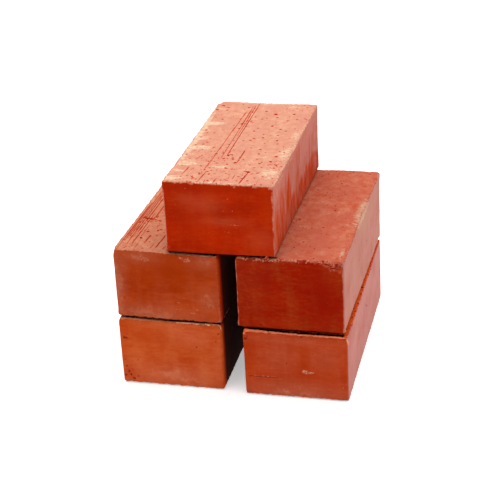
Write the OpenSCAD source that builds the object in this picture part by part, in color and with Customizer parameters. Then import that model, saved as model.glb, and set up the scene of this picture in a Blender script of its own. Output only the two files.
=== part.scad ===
// Dry stack of solid wire-cut clay bricks: two columns of two, and one brick laid over the gap between them.
// +X runs across the columns, +Y runs back along the bricks, +Z is up.
// The origin is at the bottom centre of the box round the whole stack.

/* [Brick] */
// Length of a brick
brick_l = 229; // [180:1:300]
// Width of a brick
brick_w = 108; // [90:1:125]
// Nominal height of a brick
brick_h = 76; // [50:1:100]
// Radius of the four upright arrises, rounded by the corners of the extrusion die
die_radius = 4; // [1:0.5:8]
// Radius of the arrises round the two wire-cut beds
bed_radius = 1.5; // [0.5:0.25:3]

/* [Stack] */
// Distance between the centre lines of the two columns
column_pitch = 130; // [128:1:140]
// How far the upper left brick is set in towards the gap
upper_left_inset = 2; // [0:0.5:3]
// How far the upper right brick is set in towards the gap
upper_right_inset = 4; // [0:0.5:4]
// How far the top brick lies to the left of the middle of the gap
top_offset = 7.5; // [-10:0.5:10]
// How far each brick stands back from the lower right one, in the order of NODES
setback = [4, 0, 7.5, 7, 10]; // [0:0.5:20]
// How far each brick is turned anticlockwise, in degrees
turn = [-0.3, 0, -1.6, -0.7, -0.5]; // [-1.6:0.1:0]

/* [Firing] */
// How much wider each brick came out of the kiln, in the order of NODES
width_change = [-0.5, -1, 0.5, 0.5, 0.5]; // [-2:0.5:1]
// How much higher the lower left brick came out of the kiln
lower_left_rise = 0.5; // [-2:0.5:2]
// How much higher the lower right brick came out of the kiln
lower_right_rise = -1.5; // [-2:0.5:2]
// How much higher both columns are than two nominal bricks
column_rise = 1; // [0:0.5:4]

/* [Hidden] */

LOWER_LEFT = 0;
LOWER_RIGHT = 1;
UPPER_LEFT = 2;
UPPER_RIGHT = 3;
TOP = 4;

ARC_STEP = 15; // degrees between the points of a rounded arris

// The two columns end level, so that the top brick lies flat on both.
column_h = 2 * brick_h + column_rise;
height = [
    brick_h + lower_left_rise,
    brick_h + lower_right_rise,
    column_h - brick_h - lower_left_rise,
    column_h - brick_h - lower_right_rise,
    brick_h
];
bed_z = [0, 0, height[LOWER_LEFT], height[LOWER_RIGHT], column_h];
width = [for (change = width_change) brick_w + change];

// Middle of each brick seen from above, before the whole stack is centred on the origin.
across = [
    -column_pitch,
    0,
    -column_pitch + upper_left_inset,
    -upper_right_inset,
    -column_pitch / 2 - top_offset
];
function back(i) = setback[i] + brick_l / 2;

// Half of the box round a turned brick with rounded upright arrises.
function half_reach(i, along) =
    let (a = abs(turn[i]), w = width[i] / 2 - die_radius, l = brick_l / 2 - die_radius)
    die_radius + (along == "x" ? w * cos(a) + l * sin(a) : w * sin(a) + l * cos(a));

bricks = [LOWER_LEFT : TOP];
left_end = min([for (i = bricks) across[i] - half_reach(i, "x")]);
right_end = max([for (i = bricks) across[i] + half_reach(i, "x")]);
front_end = min([for (i = bricks) back(i) - half_reach(i, "y")]);
back_end = max([for (i = bricks) back(i) + half_reach(i, "y")]);
stack_middle = [(left_end + right_end) / 2, (front_end + back_end) / 2];

// Points of a rectangle with rounded corners, centred on the origin.
function rounded(w, l, r) = [
    for (corner = [0 : 3], a = [0 : ARC_STEP : 90])
        let (sx = corner == 0 || corner == 3 ? 1 : -1, sy = corner < 2 ? 1 : -1)
        [sx * (w / 2 - r), sy * (l / 2 - r)] + r * [cos(a + 90 * corner), sin(a + 90 * corner)]
];

// A plain brick standing on z = 0: upright arrises by the die, bed arrises by the cutting wire.
module brick(w, l, h) {
    intersection() {
        linear_extrude(h)
            polygon(rounded(w, l, die_radius));
        translate([0, l / 2, h / 2])
            rotate([90, 0, 0])
                linear_extrude(l)
                    polygon(rounded(w, h, bed_radius));
        translate([-w / 2, 0, h / 2])
            rotate([90, 0, 90])
                linear_extrude(w)
                    polygon(rounded(l, h, bed_radius));
    }
}

module placed_brick(i) {
    translate([across[i] - stack_middle.x, back(i) - stack_middle.y, bed_z[i]])
        rotate([0, 0, turn[i]])
            brick(width[i], brick_l, height[i]);
}

module lower_left_brick() {
    color("#bc4a1f") placed_brick(LOWER_LEFT);
}

module lower_right_brick() {
    color("#a8380f") placed_brick(LOWER_RIGHT);
}

module upper_left_brick() {
    color("#a33208") placed_brick(UPPER_LEFT);
}

module upper_right_brick() {
    color("#951b00") placed_brick(UPPER_RIGHT);
}

module top_brick() {
    color("#a82400") placed_brick(TOP);
}

lower_left_brick();
lower_right_brick();
upper_left_brick();
upper_right_brick();
top_brick();
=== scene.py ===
import math
import random
import bpy
import numpy as np
from mathutils import Matrix, Vector, noise
from mathutils.bvhtree import BVHTree


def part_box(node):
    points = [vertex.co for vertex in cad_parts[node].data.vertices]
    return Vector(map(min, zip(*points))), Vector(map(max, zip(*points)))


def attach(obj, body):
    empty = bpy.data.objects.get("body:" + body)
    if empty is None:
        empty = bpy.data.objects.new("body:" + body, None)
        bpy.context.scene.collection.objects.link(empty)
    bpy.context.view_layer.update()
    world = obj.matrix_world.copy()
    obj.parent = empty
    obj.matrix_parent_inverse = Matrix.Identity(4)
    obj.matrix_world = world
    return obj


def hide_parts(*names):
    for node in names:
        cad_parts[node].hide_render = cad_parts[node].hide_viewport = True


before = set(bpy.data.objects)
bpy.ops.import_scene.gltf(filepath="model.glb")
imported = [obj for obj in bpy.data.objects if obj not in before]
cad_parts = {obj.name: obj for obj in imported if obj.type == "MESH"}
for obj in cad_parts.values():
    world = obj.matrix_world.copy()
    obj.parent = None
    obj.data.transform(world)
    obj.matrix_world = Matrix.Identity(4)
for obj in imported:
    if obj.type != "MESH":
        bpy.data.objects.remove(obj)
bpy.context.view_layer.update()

mm = 0.001
print("frame:", len(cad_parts), "bricks from the CAD")


def makeActive(piece):
    # operators act on all that is selected, so only this piece is
    if bpy.context.object and bpy.context.object.mode != "OBJECT":
        bpy.ops.object.mode_set(mode="OBJECT")
    bpy.ops.object.select_all(action="DESELECT")
    piece.select_set(True)
    bpy.context.view_layer.objects.active = piece


def finishModifier(piece, kind, **settings):
    # adds a modifier and applies it
    modifier = piece.modifiers.new(kind.lower(), kind)
    for name, value in settings.items():
        setattr(modifier, name, value)
    makeActive(piece)
    bpy.ops.object.modifier_apply(modifier=modifier.name)


def pointsOf(piece):
    flat = np.empty(len(piece.data.vertices) * 3, np.float32)
    piece.data.vertices.foreach_get("co", flat)
    return flat.reshape(-1, 3).astype(float)


def pickEdges(piece, wanted):
    # wanted gets both ends of every edge and says which edges to select
    mesh = piece.data
    ends = np.empty(len(mesh.edges) * 2, np.int32)
    mesh.edges.foreach_get("vertices", ends)
    a, b = pointsOf(piece)[ends.reshape(-1, 2)].transpose(1, 0, 2)
    mesh.vertices.foreach_set("select", np.zeros(len(mesh.vertices), bool))
    mesh.polygons.foreach_set("select", np.zeros(len(mesh.polygons), bool))
    mesh.edges.foreach_set("select", wanted(a, b))
    makeActive(piece)
    bpy.context.tool_settings.mesh_select_mode = (False, True, False)
    bpy.ops.object.mode_set(mode="EDIT")


def ramp(values, low, high):
    # rises smoothly from 0 at low to 1 at high
    t = np.clip((values - low) / (high - low), 0, 1)
    return t * t * (3 - 2 * t)


# Places on a brick are in mm: across from its left side, back from its front end, up from its lower bed.

blank = {
    "uprightRadius": 2.6,    # what the corners of the die leave
    "bedRadius": 1.0,        # what the cutting wire leaves, before the arrises are knocked about
    "pointSpacing": 1.12,    # of the finished mesh
    "knockSpacing": 0.7,     # of the rocks that knock chips off it
    "smoothAngle": 38,       # degrees, past which an edge stays sharp
    "mostTurn": 3,           # degrees that a brick may lie turned
    "turnStep": 0.02,
}


def lieOf(node):
    # how the CAD brick lies: its turn about Z, its middle at the lower bed, and its true size
    low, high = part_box(node)
    flat = pointsOf(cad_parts[node])[:, :2]
    best = None
    for turn in np.radians(np.arange(-blank["mostTurn"], blank["mostTurn"] + 0.001, blank["turnStep"])):
        c, s = math.cos(turn), math.sin(turn)
        own = flat @ np.array([[c, -s], [s, c]])
        lowest, highest = own.min(0), own.max(0)
        area = np.prod(highest - lowest)    # smallest when the turn is right
        if best is None or area < best[0]:
            middle = (lowest + highest) / 2
            turnedBack = (c * middle[0] - s * middle[1], s * middle[0] + c * middle[1])
            best = (area, turn, turnedBack, highest - lowest)
    _, turn, middle, sides = best
    return turn, Vector((middle[0], middle[1], low.z)), Vector((sides[0], sides[1], high.z - low.z))


def ownPlace(size, across, back, up):
    return Vector((across * mm - size.x / 2, back * mm - size.y / 2, up * mm))


def modelBlank(name, size):
    # the plain brick: upright corners rounded first, then the arrises round both beds
    bpy.ops.object.select_all(action="DESELECT")
    bpy.ops.mesh.primitive_cube_add(size=1, location=(0, 0, size.z / 2))
    piece = bpy.context.object
    piece.name = name
    piece.scale = size
    bpy.ops.object.transform_apply(location=True, rotation=False, scale=True)
    pickEdges(piece, lambda a, b: abs(a[:, 2] - b[:, 2]) > size.z / 2)
    bpy.ops.mesh.bevel(offset=blank["uprightRadius"] * mm, segments=6, affect="EDGES")
    bpy.ops.object.mode_set(mode="OBJECT")
    pickEdges(piece, lambda a, b: abs(a[:, 2] - b[:, 2]) < 1e-6)
    bpy.ops.mesh.bevel(offset=blank["bedRadius"] * mm, segments=2, affect="EDGES")
    bpy.ops.object.mode_set(mode="OBJECT")
    return piece


def addRock(place, radius, seed, stretch=(1, 1, 1)):
    # a lump with an uneven surface, which takes a chip or a pit out of the clay
    bpy.ops.mesh.primitive_ico_sphere_add(subdivisions=2, radius=radius, location=place)
    rock = bpy.context.object
    rock.scale = stretch
    rock.rotation_euler = (seed * 1.3 % 6.28, seed * 2.1 % 6.28, seed * 0.7 % 6.28)
    bpy.ops.object.mode_set(mode="EDIT")
    bpy.ops.mesh.select_all(action="SELECT")
    bpy.ops.transform.vertex_random(offset=radius * 0.22, seed=seed)
    bpy.ops.object.mode_set(mode="OBJECT")
    return rock


def joinAll(pieces, name):
    bpy.ops.object.select_all(action="DESELECT")
    for piece in pieces:
        piece.select_set(True)
    bpy.context.view_layer.objects.active = pieces[0]
    bpy.ops.object.join()
    joined = bpy.context.object
    joined.name = name
    return joined


def cutAway(piece, cutter):
    finishModifier(piece, "BOOLEAN", operation="DIFFERENCE", object=cutter, solver="MANIFOLD",
                   material_mode="TRANSFER")
    bpy.data.objects.remove(cutter)
    # a cut can leave loose crumbs: only the brick itself is kept
    bpy.ops.object.mode_set(mode="EDIT")
    bpy.ops.mesh.separate(type="LOOSE")
    bpy.ops.object.mode_set(mode="OBJECT")
    parts = sorted(bpy.context.selected_objects, key=lambda part: len(part.data.vertices))
    for crumb in parts[:-1]:
        bpy.data.objects.remove(crumb)
    makeActive(parts[-1])
    return parts[-1]


def knockArrises(piece, size, brick, dice):
    # chips that were knocked off after firing, then small crumbs along the bed arrises
    rocks = []
    for across, back, up, radius in brick["chips"]:
        rocks.append(addRock(ownPlace(size, across, back, up), radius * mm, dice.randint(1, 9999)))
    for side, count, radius in brick["crumbs"]:
        wide, long, high = size / mm
        for _ in range(count):
            t = dice.random()
            across, back, up = {
                "topFront": (t * wide, 0, high), "topBack": (t * wide, long, high),
                "topLeft": (0, t * long, high), "topRight": (wide, t * long, high),
                "lowFront": (t * wide, 0, 0), "lowBack": (t * wide, long, 0),
                "lowLeft": (0, t * long, 0), "lowRight": (wide, t * long, 0),
            }[side]
            crumb = radius * dice.uniform(0.5, 1.25) * mm
            # the long way lies along the arris
            stretch = (1, 1.6, 0.8) if side.endswith(("Left", "Right")) else (1.6, 1, 0.8)
            rocks.append(addRock(ownPlace(size, across, back, up), crumb, dice.randint(1, 9999), stretch))
    # where an arris of the front end has crumbled away
    for across, up, reachAcross, reachUp, amount in brick["broken"]:
        for _ in range(int(reachAcross * reachUp * amount / 4)):
            place = ownPlace(size, dice.gauss(across, reachAcross / 2), 0, dice.gauss(up, reachUp / 2))
            rocks.append(addRock(place, dice.uniform(0.9, 2.1) * mm, dice.randint(1, 9999), (1.5, 0.8, 0.8)))
    knocks = joinAll(rocks, "knocks")
    # makes one body of the rocks, which overlap
    finishModifier(knocks, "REMESH", mode="VOXEL", voxel_size=blank["knockSpacing"] * mm)
    return cutAway(piece, knocks)


def distances(points, size):
    # how far each point is from the nearest bed, the nearest side and the nearest end of the plain block
    bed = np.minimum(points[:, 2], size.z - points[:, 2])
    side = size.x / 2 - abs(points[:, 0])
    end = size.y / 2 - abs(points[:, 1])
    return bed, side, end


def weigh(piece, name, weights, steps=16):
    # a vertex group filled in steps, one call for all the points of a step
    group = piece.vertex_groups.get(name) or piece.vertex_groups.new(name=name)
    level = np.rint(np.clip(weights, 0, 1) * steps).astype(int)
    for i in range(1, steps + 1):
        group.add(np.nonzero(level == i)[0].tolist(), i / steps, "REPLACE")


def cloudTexture(name, depth):
    texture = bpy.data.textures.new(name, "CLOUDS")
    texture.noise_scale = 1
    texture.noise_depth = depth
    texture.noise_basis = "ORIGINAL_PERLIN"
    return texture


clayWaves = [
    # name, grain (x, y, z) in mm, depth in mm, part of it outwards, vertex group, texture depth
    ("sag", (60, 90, 50), 1.4, 0.5, "skin", 2),             # the green brick was handled
    ("bow", (70, 110, 60), 0.5, 0, "bed", 2),               # and dried unevenly
    ("dieBands", (8, 8, 300), 0.30, 0.3, "skin", 2),        # drag along the column of clay
    ("skinWaves", (22, 22, 14), 0.35, 0.3, "skin", 2),      # hands and boards
    ("wireDrag", (2.6, 90, 30), 0.25, 0, "bed", 2),         # the wire's ridges, along the bed
    ("bedTears", (9, 7, 9), 0.4, 0, "bed", 3),              # clay that the wire pulled out
    ("crumbled", (3.5, 3.5, 3.5), 1.3, 0.25, "arris", 3),   # the ragged bed arrises
]


def roughen(piece, size, offset):
    # each wave displaces the part of the surface that its vertex group holds
    points = pointsOf(piece)
    bed, side, end = distances(points, size)
    wall = np.minimum(side, end)
    onBed = 1 - ramp(bed, 0.3 * mm, 1.6 * mm)
    weigh(piece, "bed", onBed)
    weigh(piece, "skin", 1 - onBed)
    weigh(piece, "arris", 1 - ramp(np.maximum(bed, wall), 0.5 * mm, 4.5 * mm))
    for name, grain, depth, outwards, group, detail in clayWaves:
        # an empty stretches the texture, and sets it elsewhere for each brick
        bpy.ops.object.empty_add(location=(offset * 0.31, offset * 0.17, offset * 0.23))
        grid = bpy.context.object
        grid.scale = Vector(grain) * mm
        bpy.context.view_layer.update()
        # the beds only ever sink, so that bricks laid on each other stay clear
        finishModifier(piece, "DISPLACE", texture=cloudTexture(name, detail), texture_coords="OBJECT",
                       texture_coords_object=grid, strength=depth * mm, mid_level=1 - outwards,
                       vertex_group=group)
        bpy.data.objects.remove(grid)


def sinkPlaces(piece, size, brick):
    # shallow low places, such as worn corners, and swellings where the depth is below 0
    points = pointsOf(piece)
    for across, back, up, reach, depth in brick["dips"]:
        middle = np.array(ownPlace(size, across, back, up))
        away = np.linalg.norm((points - middle) / (np.array(reach) * mm), axis=1)
        weigh(piece, "dip", 1 - ramp(away, 0.15, 1))
        finishModifier(piece, "DISPLACE", strength=-depth * mm, mid_level=0, vertex_group="dip")
        piece.vertex_groups.remove(piece.vertex_groups["dip"])


# the way into the clay from each face
inwards = {"top": (0, 0, -1), "low": (0, 0, 1), "front": (0, 1, 0), "back": (0, -1, 0),
           "left": (1, 0, 0), "right": (-1, 0, 0)}
rayStart = 20    # mm outside the face


def touchFace(surface, size, face, u, v):
    # the point of the surface at u, v on a face: across and back on a bed, across and up on an end,
    # back and up on a side
    wide, long, high = size / mm
    place = {"top": (u, v, high), "low": (u, v, 0), "front": (u, 0, v), "back": (u, long, v),
             "left": (0, u, v), "right": (wide, u, v)}[face]
    inward = Vector(inwards[face])
    start = ownPlace(size, *place) - inward * rayStart * mm
    where = surface.ray_cast(start, inward)[0]
    return where or start + inward * rayStart * mm, inward


def addLine(surface, size, face, start, end, width, depth, dice):
    # a groove that follows the surface: a thin bevelled curve through points of it, made a mesh
    curve = bpy.data.curves.new("line", "CURVE")
    curve.dimensions = "3D"
    curve.bevel_depth = width / 2 * mm
    curve.bevel_resolution = 1
    curve.use_fill_caps = True
    length = math.hypot(end[0] - start[0], end[1] - start[1])
    count = max(3, int(length / 5) + 1)    # a point every 5 mm or so
    spline = curve.splines.new("POLY")
    spline.points.add(count - 1)
    for i in range(count):
        t = i / (count - 1)
        u = start[0] + (end[0] - start[0]) * t + dice.uniform(-0.12, 0.12)
        v = start[1] + (end[1] - start[1]) * t
        place, inward = touchFace(surface, size, face, u, v)
        taper = min(1, 0.35 + 4 * t, 0.35 + 4 * (1 - t)) * dice.uniform(0.8, 1.1)
        place = place - inward * (width / 2 - depth * taper) * mm
        spline.points[i].co = (*place, 1)
        spline.points[i].radius = max(0.4, taper)
    line = bpy.data.objects.new("line", curve)
    bpy.context.scene.collection.objects.link(line)
    makeActive(line)
    bpy.ops.object.convert(target="MESH")
    bpy.ops.object.mode_set(mode="EDIT")
    bpy.ops.mesh.select_all(action="SELECT")
    bpy.ops.mesh.remove_doubles(threshold=0.001 * mm)    # closes the end caps
    bpy.ops.mesh.normals_make_consistent(inside=False)
    bpy.ops.object.mode_set(mode="OBJECT")
    return bpy.context.object


def addPit(surface, size, face, u, v, radius, dice):
    place, inward = touchFace(surface, size, face, u, v)
    stretch = (dice.uniform(0.8, 1.5), dice.uniform(0.8, 1.7), dice.uniform(0.7, 1))
    return addRock(place - inward * radius * 0.5 * mm, radius * mm, dice.randint(1, 9999), stretch)


def tearSurface(piece, size, brick, dice):
    # drag grooves and open pits, cut so that their inside is a material of its own for now
    inside = bpy.data.materials.get("inside") or bpy.data.materials.new("inside")
    surface = BVHTree.FromObject(piece, bpy.context.evaluated_depsgraph_get())
    grooves = [addLine(surface, size, *line, dice) for line in brick["lines"]]
    places = list(brick["pits"])
    wide, long, high = size / mm
    for face, count, smallest, largest, *region in brick["scatter"]:
        spanU = long if face in ("left", "right") else wide
        spanV = long if face in ("top", "low") else high
        lowU, highU, lowV, highV = region or (4, spanU - 4, 4, spanV - 4)
        for _ in range(count):
            u, v = dice.uniform(lowU, highU), dice.uniform(lowV, highV)
            radius = smallest + (largest - smallest) * dice.random() ** 2
            if all(f != face or math.hypot(u - x, v - y) > 3 * (r + radius) for f, x, y, r in places):
                places.append((face, u, v, radius))
    pits = [addPit(surface, size, *place, dice) for place in places]
    for cutters in (grooves, pits):
        if cutters:
            cutter = joinAll(cutters, "tears")
            cutter.data.materials.clear()
            cutter.data.materials.append(inside)
            piece = cutAway(piece, cutter)
    mesh = piece.data
    torn = np.zeros(len(mesh.vertices))
    slots = [i for i, material in enumerate(mesh.materials) if material == inside]
    for polygon in mesh.polygons:
        if polygon.material_index in slots:
            torn[list(polygon.vertices)] = 1
        polygon.material_index = 0
    mesh.materials.clear()
    return piece, torn


def paint(piece, name, values):
    # an attribute for the material to read, cut off at 0 and 1
    layer = piece.data.attributes.new(name, "FLOAT", "POINT")
    layer.data.foreach_set("value", np.clip(values, 0, 1).astype(np.float32))


def grain(points, size, seed):
    # soft noise from 0 to 1 at every point, its grain in mm along x, y and z
    scaled = points / (np.array(size) * mm) + seed * 7.31
    values = [noise.fractal(Vector(p), 0.8, 2.1, 3) for p in scaled]
    return np.clip(0.5 + 0.5 * np.array(values), 0, 1)


def blots(u, v, places):
    # soft round patches: middle, reach both ways and amount, where more than 1 widens the full part
    total = np.zeros(len(u))
    for cu, cv, ru, rv, amount in places:
        total = np.maximum(total, amount * np.exp(-((u - cu) / ru) ** 2 - ((v - cv) / rv) ** 2))
    return total


def paintClay(piece, size, brick, torn, seed):
    points = pointsOf(piece)
    bed, side, end = distances(points, size)
    wall = np.minimum(side, end)
    ragged = grain(points, (3, 3, 3), seed) - 0.5
    across, back, up = ((points + np.array([size.x / 2, size.y / 2, 0])) / mm).T
    upper = points[:, 2] > size.z / 2
    right = points[:, 0] > 0
    # which face each point is on; the torn bed curls over its arrises a little
    curled = (ragged * brick["ragged"] + brick["curl"]) * mm * upper
    onBed = ramp(wall - bed + curled, -0.6 * mm, 0.6 * mm)
    onSide = ramp(end - side + ragged * 0.3 * mm, -0.8 * mm, 0.8 * mm) * (1 - onBed)
    onFront = ramp(side - end, -0.8 * mm, 0.8 * mm) * (points[:, 1] < 0) * (1 - onBed)
    # the rose tint of the sides is dust together with painted sheen, the whitish reflection that rough clay
    # shows at grazing angles
    dustAndSheen = onSide * np.where(right, "right" in brick["dustAndSheen"], "left" in brick["dustAndSheen"])
    # the side that faces the gap between the columns is painted dark as the shade in the gap, with a red
    # strip at its open edge painted as red bounce light
    inner = onSide * np.where(right, "right" == brick["inner"], "left" == brick["inner"])
    inner = inner * ramp(end, 2 * mm, 18 * mm)
    belowArris = onSide * right * ramp(up, size.z / mm - 16, size.z / mm - 4)
    # chips show the torn body, as the bed does
    for x, y, z, radius in brick["chips"]:
        away = np.sqrt((across - x) ** 2 + (back - y) ** 2 + (up - z) ** 2)
        onBed = np.maximum(onBed, 0.6 * (1 - ramp(away + ragged * 3, radius * 0.9, radius * 1.2)))
    paint(piece, "bed", onBed)
    paint(piece, "side", dustAndSheen)
    paint(piece, "rub", dustAndSheen * brick["rub"])
    paint(piece, "streak", blots(back, up, brick["streaks"]) * onSide * right)
    paint(piece, "inner", inner)
    paint(piece, "lined", onBed * brick["lined"] * ramp(grain(points, (30, 160, 60), seed + 40), 0.3, 0.6))
    paint(piece, "flecked", onBed * brick["flecked"] * ramp(grain(points, (50, 70, 50), seed + 60), 0.2, 0.5))
    paint(piece, "bloom", blots(across, back, brick["bloom"]) * upper * np.maximum(onBed, belowArris))
    paint(piece, "haze", blots(across, up, brick["haze"]) * onFront)
    paint(piece, "scuff", blots(across, up, brick["scuffs"]) * onFront)
    paint(piece, "deep", blots(across, up, brick["deep"]) * onFront)
    # arrises are rubbed pale where the beds meet the walls and down the corners; low down they are painted
    # dark, as the shade under the lower arris
    arris = 1 - ramp(np.maximum(bed, wall), 0.6 * mm, 2.6 * mm)
    rightArris = right * (side < end) * brick["wornRight"]
    paint(piece, "worn", arris * upper * np.maximum(brick["worn"], rightArris))
    paint(piece, "corner", (1 - ramp(np.maximum(side, end), 0.8 * mm, 3 * mm)) * brick["cornerWorn"])
    low = 1 - ramp(points[:, 2], 0.5 * mm, 1.5 * mm)
    soot = low * (1 - ramp(wall, 2 * mm, 7 * mm))
    # painted shadow in the joint under the brick above, behind the front arris
    for start, stop, nearest, furthest in brick["joints"]:
        along = ramp(across, start - 1, start + 1) * (1 - ramp(across, stop - 1, stop + 1))
        edge = back + ragged * 2.5
        inward = ramp(edge, nearest - 0.5, nearest + 0.5) * (1 - ramp(edge, furthest - 2, furthest))
        soot = np.maximum(soot, along * inward * onBed * upper)
    paint(piece, "soot", soot)
    paint(piece, "broken", blots(across, up, brick["broken"]) * (points[:, 1] < 6 * mm - size.y / 2))
    paint(piece, "torn", torn)


def hexColour(text):
    channels = [int(text[i:i + 2], 16) / 255 for i in (1, 3, 5)]
    linear = [c / 12.92 if c <= 0.04045 else ((c + 0.055) / 1.055) ** 2.4 for c in channels]
    return (*linear, 1)


def addNode(tree, kind, inputs=None, output=0, **settings):
    # an input is a number, a colour or another node's output
    made = tree.nodes.new("ShaderNode" + kind)
    for name, value in settings.items():
        setattr(made, name, value)
    for name, value in (inputs or {}).items():
        if isinstance(value, bpy.types.NodeSocket):
            tree.links.new(value, made.inputs[name])
        else:
            made.inputs[name].default_value = value
    return made.outputs[output] if made.outputs else made


# Fired clay, unglazed earthenware: matte all through. The ends and sides keep the slick, dense skin of the
# die, a deep even red; the wire-cut beds are torn open, paler, with dust on them.
clayClouds = {
    # grain (x, y, z) in mm, detail, roughness
    "sand": (1.7, 1.7, 1.7, 3, 0.7),         # drawn coarser than the real half millimetre, to show
    "fleck": (3.2, 4.2, 3.2, 1, 0.5),        # crushed brick in the body
    "freckled": (7, 7, 7, 4, 0.6),           # dust and wear, all ways alike
    "patchy": (38, 38, 26, 3, 0.6),          # uneven firing
    "bands": (14, 14, 80, 3, 0.55),          # upright drag of the die on an end
    "wisps": (16, 16, 3.2, 4, 0.66),         # level drag
    "ripples": (7, 7, 3.4, 5, 0.7),          # where the skin dragged and folded a little
    "upright": (13, 13, 40, 5, 0.66),        # upright drag on a side
    "dragged": (1.5, 150, 60, 2, 0.5),       # what the wire drew along the bed
    "salts": (5, 1.9, 5, 6, 0.85),           # lime that came out on the bed
}

clayLayers = [
    # painted mask, cloud, from, to, strength, colour; a cloud shows where it and its mask pass the ramp
    (None, "patchy", 0.35, 0.65, 1.0, "skin"),
    (None, "bands", 0.46, 0.70, 0.35, "skinPale"),
    (None, "wisps", 0.52, 0.68, 0.3, "skinPale"),
    (None, "wisps", 0.48, 0.32, 0.3, "skinDark"),
    (None, "ripples", 0.52, 0.66, 0.26, "skinPale"),
    (None, "ripples", 0.48, 0.34, 0.3, "skinDark"),
    ("deep", None, 0, 1, 0.9, "skinDark"),
    ("haze", None, 0, 1, 0.24, "dust"),
    ("haze", "freckled", 0.34, 0.72, 0.6, "dust"),
    ("scuff", "sand", 0.40, 0.56, 0.85, "dust"),
    ("corner", "freckled", 0.26, 0.62, 0.6, "rubbed"),
    # the rose side colours stand for dust together with painted sheen
    ("side", None, 0, 1, 1.0, "sideDark"),
    ("side", "patchy", 0.34, 0.64, 0.8, "side"),
    ("side", "upright", 0.38, 0.70, 0.7, "side"),
    ("rub", "upright", 0.46, 0.66, 0.7, "sideStreak"),
    ("streak", "upright", 0.30, 0.54, 1.0, "sideStreak"),
    # painted red bounce light at the open edge of the side in the gap, then painted shade deeper in
    ("inner", None, 0, 0.2, 1.0, "gapEdgeBounceRed"),
    ("inner", None, 0.15, 0.8, 1.0, "gapShade"),
    ("bed", None, 0, 1, 1.0, "bedDark"),
    ("bed", "freckled", 0.32, 0.68, 1.0, "bed"),
    ("bed", "patchy", 0.40, 0.68, 0.8, "bedRose"),
    ("lined", "dragged", 0.52, 0.60, 0.8, "inside"),
    ("flecked", "fleck", 0.60, 0.65, 0.9, "inside"),
    ("bloom", "salts", 0.42, 0.50, 0.9, "cream"),
    ("worn", "sand", 0.36, 0.46, 0.9, "rubbed"),
    ("broken", "sand", 0.46, 0.58, 0.9, "rubbed"),
    ("broken", "fleck", 0.48, 0.58, 0.9, "inside"),
    ("torn", None, 0, 1, 1.0, "inside"),
    # painted shade under the lower arrises and painted shadow in the joints, near black
    ("soot", None, 0, 0.7, 1.0, "soot"),
]


def firedClay(brick, turn, middle):
    # the clouds lie along the brick, as its clay did in the die, so they are turned and moved with it
    material = bpy.data.materials.new(brick["slot"])
    material.use_nodes = True
    tree = material.node_tree
    tree.nodes.clear()
    place = addNode(tree, "TexCoord", output="Object")
    own = addNode(tree, "Mapping", {"Vector": place, "Location": tuple(middle), "Rotation": (0, 0, turn)},
                  vector_type="TEXTURE")
    clouds = {}
    for i, (name, (x, y, z, detail, rough)) in enumerate(clayClouds.items()):
        shift = brick["seed"] + 2.3 * i
        grid = addNode(tree, "Mapping", {"Vector": own, "Location": (shift, shift * 1.7, -shift),
                                         "Scale": (1 / (x * mm), 1 / (y * mm), 1 / (z * mm))})
        clouds[name] = addNode(tree, "TexNoise", {"Vector": grid, "Scale": 1, "Detail": detail,
                                                  "Roughness": rough}, "Fac")
    masks = {name: addNode(tree, "Attribute", output="Fac", attribute_name=name)
             for name in sorted({layer[0] for layer in clayLayers if layer[0]})}

    colour = hexColour(brick["skinDark"])
    for mask, cloud, low, high, strength, tint in clayLayers:
        amount = clouds[cloud] if cloud else masks[mask]
        if cloud and mask:
            amount = addNode(tree, "Math", {0: masks[mask], 1: 0.5, 2: amount}, operation="MULTIPLY_ADD")
            low, high = low + 0.5, high + 0.5
        amount = addNode(tree, "MapRange", {"Value": amount, "From Min": low, "From Max": high,
                                            "To Max": strength})
        colour = addNode(tree, "Mix", {0: amount, 6: colour, 7: hexColour(brick[tint])}, 2, data_type="RGBA")
    # sand grains darken the colour a little, more on the open beds
    grainy = addNode(tree, "MapRange", {"Value": masks["bed"], "To Min": 0.2, "To Max": 0.5})
    shade = addNode(tree, "Math", {0: clouds["sand"], 1: 0.5}, operation="SUBTRACT")
    shade = addNode(tree, "Math", {0: shade, 1: grainy, 2: 1}, operation="MULTIPLY_ADD")
    colour = addNode(tree, "VectorMath", {0: colour, "Scale": shade}, operation="SCALE")

    # grit stands out of the open beds; the skin is closer
    grit = addNode(tree, "MapRange", {"Value": masks["bed"], "To Min": 0.2, "To Max": 1})
    height = addNode(tree, "Math", {0: clouds["sand"], 1: grit, 2: clouds["freckled"]},
                     operation="MULTIPLY_ADD")
    height = addNode(tree, "Math", {0: clouds["ripples"], 1: 0.7, 2: height}, operation="MULTIPLY_ADD")
    bump = addNode(tree, "Bump", {"Height": height, "Strength": 0.6, "Distance": 0.6 * mm})
    roughness = addNode(tree, "MapRange", {"Value": masks["bed"], "To Min": 0.78, "To Max": 0.95})
    shader = addNode(tree, "BsdfPrincipled",
                     {"Base Color": colour, "Roughness": roughness, "Normal": bump, "IOR": 1.5,
                      "Specular IOR Level": 0.02, "Diffuse Roughness": 0.6})
    addNode(tree, "OutputMaterial", {"Surface": shader})
    return material


# What each list of a brick holds, beside its colours:
# proud: how far the clay stands out of the plain block at its left, right, front and back
# chips: across, back, up, radius; crumbs: arris, how many, radius; dips: across, back, up, reach, depth
# lines: face, start, end, width, depth; pits: face, place on it, radius
# scatter: face, how many, smallest and largest radius, and the stretch of the face that they keep to
# bloom: across, back, reach across and back, amount; streaks: the same, back and up on the right side
# haze, scuffs, deep, broken: the same, across and up on the front end
# joints: painted shadow on the upper bed, in the joint under the brick above, from and to across, nearest and
# furthest back

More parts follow.
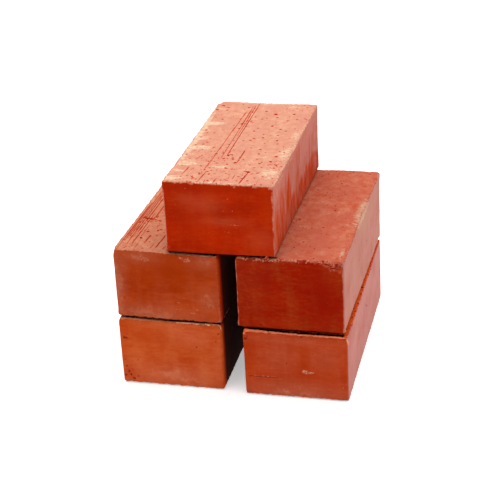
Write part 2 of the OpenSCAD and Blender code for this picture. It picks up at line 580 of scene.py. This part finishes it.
topBrick = {
    "node": "top_brick", "body": "top", "slot": "salmon_fired_clay", "seed": 1,
    "proud": (1.6, 1.0, 0.8, 1.4),
    "skin": "#bb2800", "skinDark": "#a71d00", "skinPale": "#bd3c07", "dust": "#dc8258",
    "side": "#cb8071", "sideDark": "#bc6450", "sideStreak": "#c03c04", "rub": 0.85,
    "bed": "#e9ae91", "bedDark": "#dc9377", "bedRose": "#de947d", "cream": "#efd3b2", "inside": "#c83210",
    "rubbed": "#e8b898", "gapEdgeBounceRed": "#b02400", "gapShade": "#8c3418", "soot": "#180602",
    "dustAndSheen": ("left", "right"), "inner": "",
    "lined": 0.7, "flecked": 0.95, "worn": 0.7, "wornRight": 0.9, "cornerWorn": 0.8,
    "ragged": 2.2, "curl": 0.1,
    "chips": [(0, 229, 76, 4), (110, 0, 77, 3.2), (0, 188, 77, 2.2), (0, 150, 77, 2.2), (56, 229, 77, 2.4),
              (30, 0, 77, 2.4), (72, 0, 77, 2.6), (13, 0, 77, 2.0), (95, 0, 77, 2.8), (52, 0, 77, 2.0)],
    "crumbs": [("topFront", 36, 1.6), ("topLeft", 64, 1.8), ("topRight", 30, 1.4), ("topBack", 16, 1.4),
               ("lowFront", 6, 1.2), ("lowRight", 26, 2.0), ("lowLeft", 10, 1.6), ("lowBack", 8, 1.6)],
    "dips": [(25, 0, 0, (90, 20, 10), -1.6), (0, 229, 76, (10, 10, 10), 0.8),
             (110, 60, 76, (40, 240, 60), -1.3), (20, 0, 78, (90, 60, 20), -1.0)],
    "lines": [
        ("top", (47.5, 228), (48.0, 70), 1.0, 0.8),      # the deep groove that the wire dragged
        ("top", (44.6, 226), (45.6, 120), 0.26, 0.12),
        ("top", (42.4, 226), (43.6, 56), 0.3, 0.14),
        ("top", (38.6, 210), (34.0, 12), 0.3, 0.14),
        ("top", (77.0, 3), (79.5, 32), 1.0, 0.6),
        ("top", (67.5, 12), (68.2, 26), 0.6, 0.3),
        ("top", (62.5, 56), (62.8, 92), 0.7, 0.3),
        ("top", (51.5, 2), (52.2, 16), 0.6, 0.3),
        ("top", (42.0, 2), (42.5, 10), 0.6, 0.3),
        ("top", (36.0, 4), (38.0, 34), 0.5, 0.22),
        ("top", (16.0, 20), (17.5, 42), 0.6, 0.3),
    ],
    "pits": [("top", 72, 195, 1.9), ("top", 99, 74, 1.8), ("top", 60, 203, 1.4), ("top", 61, 56, 1.6),
             ("top", 79, 33, 1.9), ("top", 48.5, 74, 1.6), ("top", 96, 60, 1.3), ("top", 55, 41, 1.5),
             ("top", 76, 36, 1.4), ("top", 89, 31, 1.4), ("top", 52, 76, 1.5), ("top", 92, 196, 2.0),
             ("right", 78, 2, 2.4), ("right", 126, 2, 1.8), ("right", 52, 2, 1.4), ("front", 54, 29.5, 1.0),
             ("front", 2, 14, 1.4), ("front", 3, 6, 1.6), ("front", 1.5, 24, 1.2)],
    "scatter": [("top", 170, 0.45, 1.6), ("front", 5, 0.5, 0.8), ("right", 8, 0.5, 1.0),
                ("left", 8, 0.5, 1.0), ("back", 5, 0.5, 1.0), ("low", 30, 0.7, 1.8)],
    "bloom": [(12, 162, 26, 11, 1.1), (12, 92, 28, 12, 1.1), (10, 50, 24, 14, 1.1), (8, 9, 24, 11, 1.1),
              (9, 117, 22, 10, 1), (102, 30, 24, 32, 0.95), (88, 70, 16, 10, 0.85), (106, 80, 14, 50, 0.95),
              (107, 130, 11, 44, 0.9), (48, 43, 17, 7, 1), (3, 120, 9, 130, 1.2), (6, 140, 16, 7, 1),
              (6, 74, 18, 7, 1), (8, 29, 20, 7, 1), (60, 3, 70, 6, 0.95), (90, 218, 30, 10, 0.9),
              (40, 190, 26, 8, 0.85), (60, 226, 60, 6, 0.95), (8, 205, 18, 12, 0.9), (70, 60, 30, 4, 0.8),
              (30, 140, 20, 5, 0.8)],
    "haze": [(41, 54, 18, 10, 0.55), (26, 58, 12, 7, 0.5), (97, 18, 14, 12, 0.4), (60, 36, 26, 5, 0.5)],
    "scuffs": [(77, 29.3, 7, 0.9, 1), (50, 37, 10, 1.0, 0.85), (70, 48, 1.5, 1.5, 1),
               (39, 28.5, 1.2, 1.0, 1), (24, 70, 1.2, 1.2, 1), (66, 60, 3, 3, 0.8), (14, 66, 1, 1, 1),
               (52, 55, 1, 1, 1), (70, 33, 12, 0.9, 1), (64, 25, 9, 0.8, 0.9), (82, 36, 8, 0.8, 0.9),
               (84, 22, 7, 0.8, 0.8)],
    "deep": [(30, 70, 60, 5, 0.7), (20, 30, 14, 22, 0.4), (70, 50, 16, 8, 0.4)],
    "broken": [(20, 76, 20, 1.2, 0.5), (60, 75.6, 34, 2.0, 0.9), (98, 76, 14, 1.8, 0.7)],
    "joints": [],
    "streaks": [(112, 26, 12, 34, 1.5), (66, 28, 17, 36, 1.5), (160, 16, 12, 26, 1.4),
                (135, 12, 12, 24, 1.4), (40, 14, 22, 26, 1.5), (192, 6, 40, 22, 3), (100, 4, 130, 30, 1.7),
                (24, 34, 30, 40, 1.4), (52, 52, 6, 20, 1.1), (120, 60, 4, 20, 1), (178, 40, 5, 30, 1)],
}

upperLeftBrick = {
    "node": "upper_left_brick", "body": "upper_left", "slot": "dusky_fired_clay", "seed": 2,
    "proud": (1.2, 0.2, 0.5, 0.8),
    "skin": "#b8420e", "skinDark": "#a43000", "skinPale": "#bd5230", "dust": "#ca8264",
    "side": "#c58270", "sideDark": "#b06654", "sideStreak": "#b04014", "rub": 0.6,
    "bed": "#de9c7a", "bedDark": "#cc7a58", "bedRose": "#d08468", "cream": "#ecc8a4", "inside": "#bc3c1c",
    "rubbed": "#d8907a", "gapEdgeBounceRed": "#b42200", "gapShade": "#3c150a", "soot": "#180602",
    "dustAndSheen": ("left",), "inner": "right",
    "lined": 0.8, "flecked": 0.9, "worn": 0.85, "wornRight": 0.8, "cornerWorn": 0.6,
    "ragged": 2.4, "curl": 0.2,
    "chips": [(0, 0, 77, 2.6), (108, 0, 0, 3), (0, 140, 77, 2.5), (0, 60, 77, 2.0), (108, 229, 76, 4),
              (0, 100, 77, 2.0)],
    "crumbs": [("topFront", 8, 1.0), ("topLeft", 60, 1.8), ("topRight", 12, 1.5), ("topBack", 12, 1.5),
               ("lowFront", 26, 1.6), ("lowRight", 14, 1.6), ("lowLeft", 16, 1.6), ("lowBack", 8, 1.6)],
    "dips": [(90, 0, 76, (80, 40, 8), 2.1), (0, 0, 76, (9, 9, 9), 1.2), (54, 0, 0, (90, 16, 10), -1.2)],
    "lines": [("top", (4.6, 4), (5.4, 120), 0.8, 0.4), ("top", (6.4, 6), (7.4, 225), 0.7, 0.35),
              ("top", (8.6, 24), (9.4, 150), 0.6, 0.3), ("top", (11.0, 4), (11.4, 226), 0.9, 0.5),
              ("top", (13.8, 30), (14.0, 160), 0.6, 0.25), ("top", (16.4, 12), (17.0, 96), 0.7, 0.35),
              ("top", (20.6, 60), (21.0, 215), 0.6, 0.25), ("top", (42.5, 10), (45.0, 42), 1.0, 0.6),
              ("top", (50.0, 7), (52.0, 19), 0.8, 0.4), ("top", (37.5, 8), (38.5, 22), 0.7, 0.3),
              ("top", (28.0, 18), (29.5, 40), 0.8, 0.4), ("top", (24.0, 90), (25.0, 190), 0.7, 0.3),
              ("top", (70.0, 40), (71.0, 200), 0.7, 0.3)],
    "pits": [("top", 10, 79, 2.2), ("top", 14, 77, 2.2), ("top", 18, 76, 2.0), ("top", 23, 75, 1.8),
             ("top", 28, 73, 1.6), ("top", 21.6, 30, 1.6), ("top", 33, 50, 1.5), ("top", 36, 52, 1.3),
             ("top", 24, 46, 1.5), ("top", 29, 36, 1.3), ("front", 9.5, 21.5, 1.4), ("front", 28, 45, 0.8),
             ("front", 100, 18, 0.8)],
    "scatter": [("top", 70, 0.6, 1.3), ("front", 4, 0.5, 0.7), ("right", 8, 0.5, 1.0),
                ("left", 10, 0.5, 1.0), ("back", 6, 0.5, 1.1), ("low", 30, 0.7, 1.8)],
    "bloom": [(4, 120, 7, 120, 0.8), (20, 110, 20, 30, 0.7), (100, 60, 10, 40, 0.7), (60, 215, 30, 10, 0.7),
              (30, 190, 40, 40, 0.7)],
    "haze": [(34, 4, 60, 13, 0.95), (3, 40, 9, 60, 0.95), (98, 25, 12, 18, 0.8), (96, 68, 15, 10, 0.8),
             (26, 70, 24, 8, 0.8), (8, 60, 8, 14, 0.8)],
    "scuffs": [(35, 67, 8, 4.5, 1), (28, 70, 9, 3, 0.9), (78, 69, 7, 4, 1.1), (72, 71, 6, 3, 1),
               (62, 13, 9, 0.8, 1.4), (80, 10, 7, 0.8, 1.4), (67, 21, 5, 1.4, 1), (73, 27, 4, 1.2, 0.9),
               (97, 31, 7, 1.4, 0.9), (103, 21, 1.2, 6, 0.9), (8, 55, 4, 8, 0.7), (28, 48, 2, 2, 0.8),
               (86, 14, 3, 2, 0.9)],
    "deep": [(60, 56, 40, 18, 0.8), (20, 52, 10, 14, 0.5)],
    "broken": [(80, 1, 30, 2, 0.8), (30, 1, 30, 1.5, 0.7)],
    "joints": [(58, 112, 6.4, 9.5)],
    "streaks": [(60, 30, 10, 40, 0.7), (150, 20, 14, 30, 0.7)],
}

upperRightBrick = {
    "node": "upper_right_brick", "body": "upper_right", "slot": "dark_red_fired_clay", "seed": 3,
    "proud": (0.2, 0.8, 0.5, 1.2),
    "skin": "#a41f00", "skinDark": "#961200", "skinPale": "#a84a1c", "dust": "#b85a2c",
    "side": "#c5887a", "sideDark": "#bb7566", "sideStreak": "#be8c70", "rub": 0.3,
    "bed": "#d08064", "bedDark": "#c4583a", "bedRose": "#c4644e", "cream": "#d4a88c", "inside": "#a0200c",
    "rubbed": "#e09a80", "gapEdgeBounceRed": "#a01800", "gapShade": "#3c150a", "soot": "#180602",
    "dustAndSheen": ("right",), "inner": "left",
    "lined": 0.55, "flecked": 0.84, "worn": 0.85, "wornRight": 0.7, "cornerWorn": 0.9,
    "ragged": 3.6, "curl": 0.5,
    "chips": [(46, 0, 78, 2.4), (81, 0, 78, 2.6), (92, -0.5, 76, 4.2), (103, -0.5, 75, 5.2),
              (87, 0, 78, 2.8), (98, -1, 72, 3.4), (106, -1, 70, 2.6), (60, 0, 79, 1.8), (16, 0, 78, 2.0),
              (30, 0, 79, 1.8), (52, -0.6, 77.6, 3.6)],
    "crumbs": [("topFront", 40, 1.5), ("topLeft", 10, 1.5), ("topRight", 20, 1.3), ("topBack", 20, 1.6),
               ("lowFront", 20, 1.5), ("lowRight", 30, 2.0), ("lowLeft", 10, 1.6), ("lowBack", 8, 1.6)],
    "dips": [(108, 120, 79, (9, 70, 9), 1.2), (108, 0, 78, (10, 10, 10), 0.8),
             (54, 0, 0, (90, 16, 10), -2.2), (25, 0, 79, (70, 40, 8), 1.9),
             (85, 229, 79, (50, 90, 10), -0.9)],
    "lines": [("front", (84, 76.5), (97, 73.5), 1.0, 0.9), ("front", (92, 72), (106, 70.5), 1.0, 0.9),
              ("top", (30, 120), (31, 200), 0.6, 0.25)],
    "pits": [("top", 77, 134, 1.1), ("top", 51, 173, 1.1), ("top", 36, 63, 1.1), ("top", 37, 44, 1.1),
             ("top", 61, 43, 1.0), ("front", 25, 4, 1.4), ("front", 92, 33, 1.0), ("front", 5, 20, 1.0)],
    "scatter": [("top", 60, 0.5, 1.1), ("front", 3, 0.4, 0.7), ("right", 6, 0.4, 0.8),
                ("left", 10, 0.5, 1.0), ("back", 6, 0.5, 1.1), ("low", 30, 0.7, 1.8)],
    "bloom": [(107, 122, 12, 76, 1.05), (104, 22, 5, 26, 1), (80, 218, 24, 8, 0.8), (98, 88, 8, 14, 0.8),
              (50, 80, 1.3, 1.3, 3), (84, 118, 1.2, 1.6, 2), (60, 150, 1, 1.4, 2), (102, 30, 6, 16, 0.8),
              (97, 200, 9, 12, 0.8)],
    "haze": [(14, 72, 24, 6, 0.5), (16, 42, 15, 40, 0.4), (52, 8, 40, 5, 0.4), (96, 10, 14, 8, 0.3)],
    "scuffs": [(20, 64, 10, 2, 0.7), (66, 50, 6, 1.2, 0.7), (70, 42, 6, 1, 0.7), (12, 22, 3, 6, 0.7)],
    "deep": [(86, 40, 16, 40, 0.9), (33, 55, 8, 20, 0.6)],
    "broken": [(97, 75, 14, 5, 1), (88, 77, 12, 3, 1), (28, 76.6, 34, 3.6, 1.4), (64, 77, 20, 2.8, 1.2),
               (12, 76, 10, 4, 0.8), (60, 1, 40, 1.6, 0.7)],
    "joints": [(-2, 42, 6.4, 9.5)],
    "streaks": [(120, 66, 50, 24, 0.8), (60, 40, 20, 40, 0.6), (20, 30, 8, 40, 0.5),
                (170, 60, 20, 20, 0.7)],
}

lowerLeftBrick = {
    "node": "lower_left_brick", "body": "lower_left", "slot": "orange_fired_clay", "seed": 4,
    "proud": (1.2, 0.2, 0.5, 0.5),
    "skin": "#cc5826", "skinDark": "#be400a", "skinPale": "#d6703e", "dust": "#e09474",
    "side": "#c68068", "sideDark": "#b4664c", "sideStreak": "#b84a1c", "rub": 0.6,
    "bed": "#d88c68", "bedDark": "#c46a44", "bedRose": "#cc7450", "cream": "#fcc09a", "inside": "#a03814",
    "rubbed": "#e08c60", "gapEdgeBounceRed": "#b43a0c", "gapShade": "#3c150a", "soot": "#180602",
    "dustAndSheen": ("left",), "inner": "right",
    "lined": 0.7, "flecked": 0.9, "worn": 0.9, "wornRight": 0.7, "cornerWorn": 0.4,
    "ragged": 2.4, "curl": 0.2,
    "chips": [(108, 0, -1, 2), (108, 0, 76, 3), (0, 0, 0, 2.6), (96, 0, 77, 2.0)],
    "crumbs": [("topFront", 22, 1.3), ("topLeft", 20, 1.5), ("topRight", 12, 1.5), ("topBack", 10, 1.5),
               ("lowFront", 30, 1.7), ("lowRight", 14, 1.6), ("lowLeft", 18, 1.7), ("lowBack", 8, 1.6)],
    "dips": [(108, 0, 76, (9, 9, 9), 0.8), (54, 4, 76, (100, 24, 8), 1.5)],
    "lines": [("top", (30, 10), (31, 200), 0.7, 0.3), ("top", (60, 30), (61, 180), 0.7, 0.3),
              ("top", (80, 8), (82, 90), 1.0, 0.5)],
    "pits": [("front", 5.5, 54.5, 1.6), ("front", 7.5, 54.2, 1.2), ("front", 82, 49, 0.9),
             ("front", 7, 14, 1.2), ("front", 12, 6, 1.4), ("front", 5, 20, 1.2), ("front", 9, 10, 1.0),
             ("front", 4, 28, 0.9), ("front", 106, 66, 0.9), ("front", 17, 9, 0.8), ("front", 3, 9, 1.4)],
    "scatter": [("top", 60, 0.6, 1.2), ("front", 4, 0.4, 0.6), ("right", 8, 0.5, 1.0),
                ("left", 10, 0.5, 1.0), ("back", 6, 0.5, 1.1), ("low", 30, 0.7, 1.8)],
    "bloom": [(84, 0, 24, 6, 3), (10, 120, 10, 30, 0.7), (100, 60, 10, 40, 0.7)],
    "haze": [(78, 60, 24, 12, 0.5), (60, 12, 50, 14, 0.8), (103, 30, 6, 34, 0.4), (20, 24, 14, 8, 0.2),
             (59, 70, 26, 4, 0.3)],
    "scuffs": [(70, 70, 5, 2, 0.8), (47, 65, 5, 2, 0.7), (30, 66, 7, 1.2, 0.7)],
    "deep": [(9, 12, 9, 9, 1), (30, 58, 26, 12, 0.6), (55, 44, 40, 5, 0.4)],
    "broken": [(8, 12, 7, 10, 0.7), (90, 75.5, 20, 1.6, 0.9)],
    "joints": [(-2, 54, 6.2, 8.4), (50, 112, 5.4, 8.6)],
    "streaks": [(60, 30, 10, 40, 0.7), (150, 20, 14, 30, 0.7)],
}

lowerRightBrick = {
    "node": "lower_right_brick", "body": "lower_right", "slot": "brick_red_fired_clay", "seed": 5,
    "proud": (0.2, 0.2, 0.5, 0.6),
    "skin": "#bc3f10", "skinDark": "#b13404", "skinPale": "#c65836", "dust": "#dc9a7c",
    "side": "#c88880", "sideDark": "#bc7468", "sideStreak": "#c07058", "rub": 0.3,
    "bed": "#e4601e", "bedDark": "#c03c08", "bedRose": "#d05018", "cream": "#fc9a76", "inside": "#8c1c08",
    "rubbed": "#f09c6c", "gapEdgeBounceRed": "#a82c08", "gapShade": "#3c150a", "soot": "#180602",
    "dustAndSheen": ("right",), "inner": "left",
    "lined": 0.6, "flecked": 0.9, "worn": 0.9, "wornRight": 0.75, "cornerWorn": 0.5,
    "ragged": 2.2, "curl": 0.6,
    "chips": [(1, 0, 73, 2.6), (107, 0, 74, 2.6), (60, 0, 76, 2.0)],
    "crumbs": [("topFront", 12, 1.2), ("topLeft", 12, 1.5), ("topRight", 36, 2.0), ("topBack", 10, 1.5),
               ("lowFront", 20, 1.5), ("lowRight", 24, 1.8), ("lowLeft", 14, 1.6), ("lowBack", 8, 1.6)],
    "dips": [(74, 4, 75, (100, 24, 10), 2.6), (107, 0, 74, (10, 10, 8), 0.8)],
    "lines": [("front", (1, 22.6), (38, 22.2), 0.5, 0.15), ("top", (40, 30), (41, 180), 0.7, 0.3)],
    "pits": [("front", 3, 66, 1.3), ("front", 60, 71, 0.9)],
    "scatter": [("top", 50, 0.6, 1.2), ("top", 56, 0.7, 1.7, 101, 107.5, 2, 226), ("front", 4, 0.4, 0.6),
                ("right", 6, 0.4, 0.8), ("left", 10, 0.5, 1.0), ("back", 6, 0.5, 1.1),
                ("low", 30, 0.7, 1.8)],
    "bloom": [(50, 0, 80, 6, 3), (10, 120, 10, 30, 0.7), (100, 60, 10, 40, 0.7)],
    "haze": [(54, 4, 60, 16, 0.8), (36, 46, 20, 22, 0.4), (84, 50, 18, 20, 0.4), (54, 66, 60, 6, 0.4)],
    "scuffs": [(54, 73.6, 54, 0.8, 1.4), (66, 31, 7, 1.8, 1.8), (62, 32.6, 4, 1.3, 1.8),
               (20, 23.2, 20, 0.7, 1.3), (102, 17, 1.5, 2, 1), (2, 74, 1, 1, 0.5)],
    "deep": [(75, 24, 30, 10, 0.4), (5, 68, 4, 5, 0.9)],
    "broken": [(3, 70, 4, 5, 0.9)],
    "joints": [(-2, 102, 6.6, 10.5)],
    "streaks": [(30, 20, 5, 40, 0.5)],
}

bricks = [lowerLeftBrick, lowerRightBrick, upperLeftBrick, upperRightBrick, topBrick]


def makeBrick(brick):
    dice = random.Random(brick["seed"])
    turn, middle, size = lieOf(brick["node"])
    # the clay stands a little proud of the plain block, in mm at its left, right, front and back
    left, right, front, back = [grown * mm for grown in brick["proud"]]
    size += Vector((left + right, front + back, 0))
    middle += Matrix.Rotation(turn, 3, "Z") @ Vector(((right - left) / 2, (back - front) / 2, 0))
    piece = modelBlank(brick["node"] + "_clay", size)
    piece = knockArrises(piece, size, brick, dice)
    finishModifier(piece, "REMESH", mode="VOXEL", voxel_size=blank["pointSpacing"] * mm)
    roughen(piece, size, brick["seed"])
    sinkPlaces(piece, size, brick)
    piece, torn = tearSurface(piece, size, brick, dice)
    piece.name = brick["node"] + "_clay"
    piece.vertex_groups.clear()
    paintClay(piece, size, brick, torn, brick["seed"])
    piece.data.materials.append(firedClay(brick, turn, middle))
    makeActive(piece)
    bpy.ops.object.shade_smooth_by_angle(angle=math.radians(blank["smoothAngle"]))
    piece.rotation_euler.z = turn
    piece.location = middle
    bpy.ops.object.transform_apply(location=True, rotation=True, scale=True)
    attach(piece, brick["body"])
    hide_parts(brick["node"])
    triangles = sum(len(p.vertices) - 2 for p in piece.data.polygons)
    print(f"{piece.name}: {triangles} triangles")


for brick in bricks:
    makeBrick(brick)


studio = {
    "floorSize": 14,
    "floor": "#fbfbfb",
    "glow": 0.4,     # of the floor, as if lit from below
    "world": 0.22,
    "lamps": [
        # place, side of the square, watts; each looks at the bricks
        ((0, 0.6, 4.0), 6.0, 260),        # the overhead softbox, which also keeps the floor white
        ((-1.3, -2.6, 1.3), 1.6, 11),     # front fill from the left
        ((2.8, 0.2, 1.3), 1.6, 11),       # right fill
        ((-2.0, 2.4, 1.2), 1.6, 10),      # back fill
    ],
}


def makeStudio():
    bpy.ops.object.select_all(action="DESELECT")
    bpy.ops.mesh.primitive_plane_add(size=studio["floorSize"])
    floor = bpy.context.object
    floor.name = "floor"
    paper = bpy.data.materials.new("white_paper")
    paper.use_nodes = True
    tree = paper.node_tree
    tree.nodes.clear()
    shader = addNode(tree, "BsdfPrincipled", {"Base Color": hexColour(studio["floor"]), "Roughness": 0.9,
                                              "Specular IOR Level": 0.1, "Emission Color": (1, 1, 1, 1),
                                              "Emission Strength": studio["glow"]})
    addNode(tree, "OutputMaterial", {"Surface": shader})
    floor.data.materials.append(paper)
    world = bpy.data.worlds.new("studio")
    bpy.context.scene.world = world
    world.use_nodes = True
    background = world.node_tree.nodes["Background"]
    background.inputs["Color"].default_value = (1, 1, 1, 1)
    background.inputs["Strength"].default_value = studio["world"]
    for place, side, watts in studio["lamps"]:
        bpy.ops.object.light_add(type="AREA", location=place)
        lamp = bpy.context.object
        lamp.data.size = side
        lamp.data.energy = watts
        lamp.rotation_euler = (Vector((0, 0, 0.1)) - Vector(place)).to_track_quat("-Z", "Y").to_euler()
    bpy.context.scene.view_settings.view_transform = "Standard"
    print("studio: floor and", len(studio["lamps"]), "lamps")


makeStudio()

view = {
    "place": (0.3255, -1.3315, 0.7683),
    "turn": 13.95,    # degrees round to the left from the bricks' long axis
    "down": 25.8,     # degrees below level
    "tilt": -2.9,     # degrees about the line of sight
    "lens": 102.6,
}


def setCamera():
    bpy.ops.object.camera_add(location=view["place"])
    camera = bpy.context.object
    camera.data.lens = view["lens"]
    aim = Matrix.Rotation(math.radians(view["turn"]), 3, "Z")
    aim = aim @ Matrix.Rotation(math.radians(90 - view["down"]), 3, "X")
    aim = aim @ Matrix.Rotation(math.radians(view["tilt"]), 3, "Z")
    camera.rotation_euler = aim.to_euler()
    bpy.context.scene.camera = camera
    print("camera:", view["lens"], "mm lens")


setCamera()
